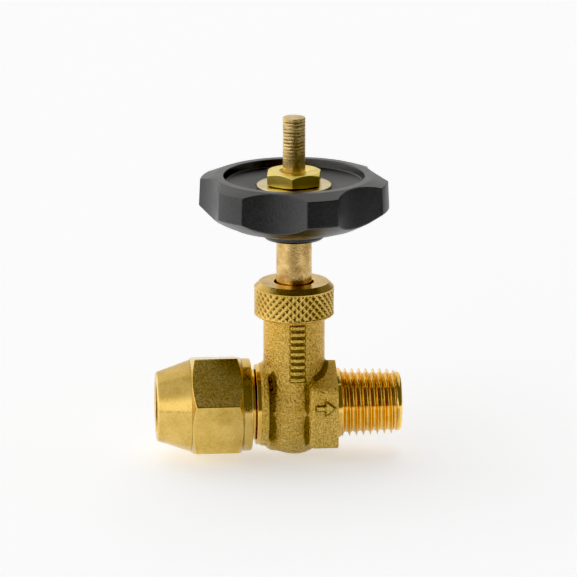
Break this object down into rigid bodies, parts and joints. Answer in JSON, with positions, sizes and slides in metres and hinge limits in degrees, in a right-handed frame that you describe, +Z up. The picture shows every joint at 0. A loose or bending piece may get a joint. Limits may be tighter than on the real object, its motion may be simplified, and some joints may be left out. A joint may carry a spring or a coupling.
{
  "type": "needle valve",
  "caption": "Brass straight needle valve with a lobed plastic handwheel, knurled gland nut, compression nut inlet and taper-threaded outlet.",
  "frame": {"origin": "where the axis through both ports crosses the spindle axis", "axes": "+X along the flow to the taper-threaded outlet, +Z up the spindle to the handwheel, the cast flow arrow faces -Y"},
  "size_m": [0.0492, 0.038, 0.0696],
  "materials": {
    "cast_brass": "blasted forging with a fine grain",
    "machined_brass": "turned, with handling stains",
    "knurled_brass": "turned and diamond knurled",
    "spindle_brass": "ground, with dark thread marks near its top",
    "stainless_steel": "turned",
    "handwheel_plastic": "moulded, with a fine grain",
    "packing_plastic": "PTFE"
  },
  "bodies": {
    "valve_body": {"valve_body": "cast_brass", "seat_ring": "stainless_steel", "packing_base_washer": "machined_brass", "packing_ring_lower": "packing_plastic", "packing_ring_middle": "packing_plastic", "packing_ring_upper": "packing_plastic"},
    "needle": {"needle": "stainless_steel", "needle_clip": "stainless_steel"},
    "spindle_and_wheel": {"spindle": "spindle_brass", "handwheel": "handwheel_plastic", "handwheel_insert": "machined_brass", "wheel_washer": "machined_brass", "wheel_nut": "machined_brass"},
    "gland_follower": {"gland_follower": "machined_brass"},
    "gland_nut": {"gland_nut": "knurled_brass"},
    "olive": {"olive": "machined_brass"},
    "compression_nut": {"compression_nut": "machined_brass"}
  },
  "joints": [
    {"name": "needle_lift", "type": "slide", "parent": "valve_body", "child": "needle", "axis": [0, 0, 1], "range_m": [-0.005, 0.001]},
    {"name": "wheel_turn", "type": "hinge", "parent": "needle", "child": "spindle_and_wheel", "pos_m": [0, 0, 0.03], "axis": [0, 0, 1], "range_deg": [-1800, 360]},
    {"name": "gland_lift", "type": "slide", "parent": "valve_body", "child": "gland_follower", "axis": [0, 0, 1], "range_m": [0, 0.002]},
    {"name": "gland_turn", "type": "hinge", "parent": "gland_follower", "child": "gland_nut", "pos_m": [0, 0, 0.022], "axis": [0, 0, 1], "range_deg": [0, 720]},
    {"name": "olive_slide", "type": "slide", "parent": "valve_body", "child": "olive", "axis": [-1, 0, 0], "range_m": [0, 0.012]},
    {"name": "nut_turn", "type": "hinge", "parent": "olive", "child": "compression_nut", "pos_m": [-0.018, 0, 0], "axis": [-1, 0, 0], "range_deg": [0, 2880]}
  ],
  "couplings": [
    {"joint": "needle_lift", "follows": "wheel_turn", "m_per_rad": 0.00015915},
    {"joint": "gland_lift", "follows": "gland_turn", "m_per_rad": 0.00015915},
    {"joint": "olive_slide", "follows": "nut_turn", "m_per_rad": 0.00023873}
  ]
}
